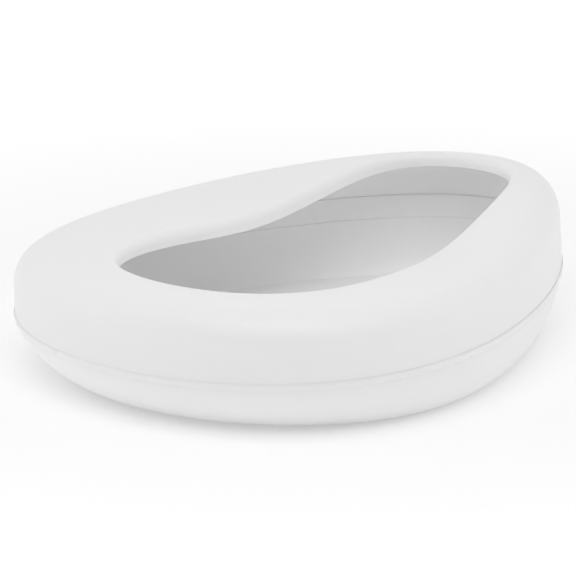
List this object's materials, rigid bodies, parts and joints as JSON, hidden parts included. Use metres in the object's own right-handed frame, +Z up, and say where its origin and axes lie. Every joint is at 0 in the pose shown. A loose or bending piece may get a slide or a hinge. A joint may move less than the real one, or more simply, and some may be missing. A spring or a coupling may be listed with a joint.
{
  "type": "bedpan",
  "caption": "Contoured bedpan with a low wide seat end, a raised narrow front, a rolled-in lip and a shallow welded-on bowl.",
  "frame": {"origin": "on the floor, under the middle of the pan's length and width", "axes": "+X along the length towards the raised front end, +Y to the left, +Z up"},
  "size_m": [0.38, 0.3036, 0.0913],
  "materials": {
    "shell_plastic": "smooth satin white polypropylene",
    "weld_plastic": "smooth satin white polypropylene"
  },
  "bodies": {
    "root": {"seat_shell": "shell_plastic", "bowl_shell": "shell_plastic", "weld_bead": "weld_plastic"}
  },
  "joints": []
}
